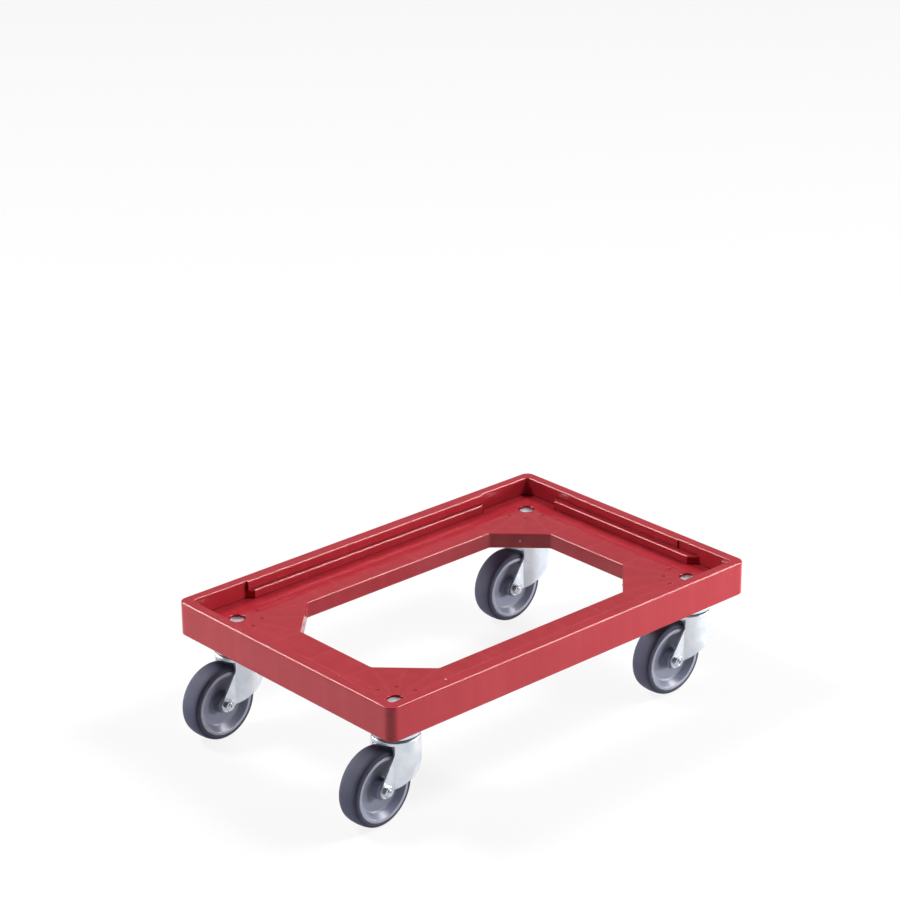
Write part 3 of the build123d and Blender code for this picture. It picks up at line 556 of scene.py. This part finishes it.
# Tyres: dark grey rubber moulded onto the hub between its lips, with a nearly flat tread, round shoulders
# and slightly hollow sides. The surface is satin; the tread is paler than the sides, partly as scuffing and
# partly because the sides are painted darker as a painted shade; and the tool's joint leaves a fine line
# round its middle.
tyre_side = (
    (tyre_seat, 0.0137, 0.0),
    (0.04235, 0.0137, 0.0),
    (0.0424, 0.0148, 0.0004),
    (0.0448, 0.0150, 0.0030),
    (0.0483, 0.0136, 0.0040),
    (0.0495, 0.0078, 0.0150),
)
tread_middle = (0.0500, 0.0, 0.0)
tyre_outline = rounded_line([*tyre_side, tread_middle, *other_side(tyre_side)])
# The sides' rubber is painted darker than the tread, partly a painted shade
side_rubber = (0.036, 0.038, 0.068, 1.0)
cloudy_rubber = (0.047, 0.049, 0.085, 1.0)
tread_rubber = (0.080, 0.083, 0.138, 1.0)
scratched_rubber = (0.12, 0.12, 0.14, 1.0)
joint_fade = (0.0004, 0.00012)
# Where the paler tread gives way to the sides painted in shade
tread_scuff_and_side_shade_fade = (0.0470, 0.0495)

tyre_rubber, tree, shader, place = new_material("tyre_rubber")
skin = use_group(tree, moulded_skin, place, {"Grain Scale": 1100.0, "Cloud Scale": 30.0})
scratch = use_group(tree, hair_scratches, place, {"Scale": 200.0})["Scratch"]
across = put(tree, "SeparateXYZ", {"Vector": place}).outputs["Z"]
joint_line = ramp(tree, calc(tree, "ABSOLUTE", across), *joint_fade)
rubber = coated(
    tree, blend_colours(tree, skin["Cloud"], side_rubber, cloudy_rubber),
    (ramp(tree, from_axle(tree, place), *tread_scuff_and_side_shade_fade), 1.0, tread_rubber),
    (scratch, 0.25, scratched_rubber),
)
feed(tree, shader, {
    "Base Color": rubber,
    "Roughness": ramp(tree, skin["Cloud"], 0.3, 0.7, 0.58, 0.68),
    "Normal": relief(
        tree, put(tree, "NewGeometry").outputs["Normal"],
        (joint_line, 0.00012), (skin["Wave"], 0.0002), (skin["Grain"], 0.00002),
    ),
})
shader["Specular IOR Level"].default_value = 0.25
for corner in corners:
    tyre = turned_piece(corner + "_tread", tyre_outline, tyre_rubber)
    place_on_axle(tyre, corner)
    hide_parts(corner + "_tyre")


# Floor: a plain white sheet. The camera sees it near white, shiny surfaces see more of its shade, and to
# light that bounces off it, it is a plain grey. From below it is clear, so that the underside shows.
floor_half = 60.0
floor_white = (0.95, 0.95, 0.95, 1.0)
bounce_grey = (0.60, 0.60, 0.60, 1.0)
camera_glow = 0.85
shine_glow = 0.35

floor_points = [(x * floor_half, y * floor_half, 0.0) for x, y in ((-1, -1), (1, -1), (1, 1), (-1, 1))]
floor_mesh = bpy.data.meshes.new("floor")
floor_mesh.from_pydata(floor_points, [], [(0, 1, 2, 3)])
floor = bpy.data.objects.new("floor", floor_mesh)
bpy.context.scene.collection.objects.link(floor)
white_floor = bpy.data.materials.new("white_floor")
white_floor.use_nodes = True
tree = white_floor.node_tree
tree.nodes.clear()
path = put(tree, "LightPath").outputs
seen = calc(tree, "MAXIMUM", path["Is Camera Ray"], path["Is Glossy Ray"])
seen = calc(tree, "MAXIMUM", seen, path["Is Transmission Ray"])
lit = put(tree, "BsdfDiffuse", {"Color": floor_white}).outputs["BSDF"]
glow = put(tree, "Emission", {"Color": (1.0, 1.0, 1.0, 1.0), "Strength": 1.0}).outputs["Emission"]
glow_lost = times(tree, path["Is Glossy Ray"], camera_glow - shine_glow)
glow_share = calc(tree, "SUBTRACT", camera_glow, glow_lost)
pale = put(tree, "MixShader", {0: glow_share, 1: lit, 2: glow}).outputs["Shader"]
bounce = put(tree, "BsdfDiffuse", {"Color": bounce_grey}).outputs["BSDF"]
from_above = put(tree, "MixShader", {0: seen, 1: bounce, 2: pale}).outputs["Shader"]
clear = put(tree, "BsdfTransparent").outputs["BSDF"]
underneath = put(tree, "NewGeometry").outputs["Backfacing"]
one_sided = put(tree, "MixShader", {0: underneath, 1: from_above, 2: clear}).outputs["Shader"]
put(tree, "OutputMaterial", {"Surface": one_sided})
floor_mesh.materials.append(white_floor)


# Light: a low soft box and a high one light it from each side. A panel above and one high behind each
# side only show as gleams on shiny surfaces, and the surround is pale, but dark on the camera's side.

def soft_box(name, from_direction, distance, length, width, level, long_way=(0.0, 0.0, 1.0)):
    """Add a soft box that faces the object; at level 1 a matte surface facing it shows its own colour."""
    back = Vector(from_direction).normalized()
    along = (Vector(long_way) - back * back.dot(Vector(long_way))).normalized()
    light = bpy.data.lights.new(name, "AREA")
    light.shape = "RECTANGLE"
    light.size = length
    light.size_y = width
    light.energy = level * pi * pi * distance ** 2
    lamp = bpy.data.objects.new(name, light)
    turn = Matrix((along, back.cross(along), back)).transposed()
    lamp.matrix_world = Matrix.Translation(back * distance) @ turn.to_4x4()
    lamp.visible_camera = False
    bpy.context.scene.collection.objects.link(lamp)
    return lamp


soft_box(
    "right_light", from_direction=(0.75, -0.65, 0.12), distance=2.4, length=0.55, width=1.5, level=0.93,
)
soft_box(
    "left_light", from_direction=(-0.64, 0.76, 0.10), distance=2.4, length=0.48, width=1.07, level=0.55,
)
right_high = soft_box(
    "right_high", from_direction=(0.50, -0.35, 0.79), distance=6.0, length=1.5, width=1.5, level=0.66,
)
left_high = soft_box(
    "left_high", from_direction=(-0.38, 0.50, 0.78), distance=6.0, length=1.5, width=1.5, level=0.57,
)
top_gleam = soft_box(
    "top_gleam", from_direction=(0.10, 0.20, 0.97), distance=4.0, length=5.0, width=5.0, level=0.34,
    long_way=(1.0, 0.0, 0.0),
)
right_gleam = soft_box(
    "right_gleam", from_direction=(0.618, -0.269, 0.739), distance=8.0, length=3.2, width=2.8, level=1.4,
    long_way=(0.0, 0.82, 0.57),
)
left_gleam = soft_box(
    "left_gleam", from_direction=(-0.248, 0.689, 0.681), distance=8.0, length=2.6, width=2.8, level=1.3,
    long_way=(0.906, 0.0, 0.423),
)
for lamp in (right_high, left_high):
    lamp.visible_glossy = False
for lamp in (top_gleam, right_gleam, left_gleam):
    lamp.visible_diffuse = False

camera_side = (-0.668, -0.744, 0.0)
world = bpy.data.worlds.new("surround")
bpy.context.scene.world = world
world.use_nodes = True
tree = world.node_tree
direction = put(tree, "TexCoord").outputs["Generated"]
facing = measure(tree, "DOT_PRODUCT", direction, camera_side)
surround = tree.nodes["Background"].inputs
surround["Color"].default_value = (1.0, 1.0, 1.0, 1.0)
tree.links.new(ramp(tree, facing, -0.95, -0.2, 0.34, 0.03), surround["Strength"])


# Camera: at the photograph's angle, above the floor and in front of the near corner. Its place and its
# two directions come from fitting the frame's corners to the photograph.
camera_place = (-2.1802, -2.4229, 1.6955)
right_way = Vector((0.7417, -0.6706, -0.0096))
up_way = Vector((0.2608, 0.2752, 0.9253))
lens = bpy.data.cameras.new("camera")
lens.sensor_width = 36.0
lens.lens = 112.77
camera = bpy.data.objects.new("camera", lens)
bpy.context.scene.collection.objects.link(camera)
turn = Matrix((right_way, up_way, right_way.cross(up_way))).transposed()
camera.matrix_world = Matrix.Translation(camera_place) @ turn.to_4x4()
bpy.context.scene.camera = camera
bpy.context.scene.view_settings.view_transform = "Standard"
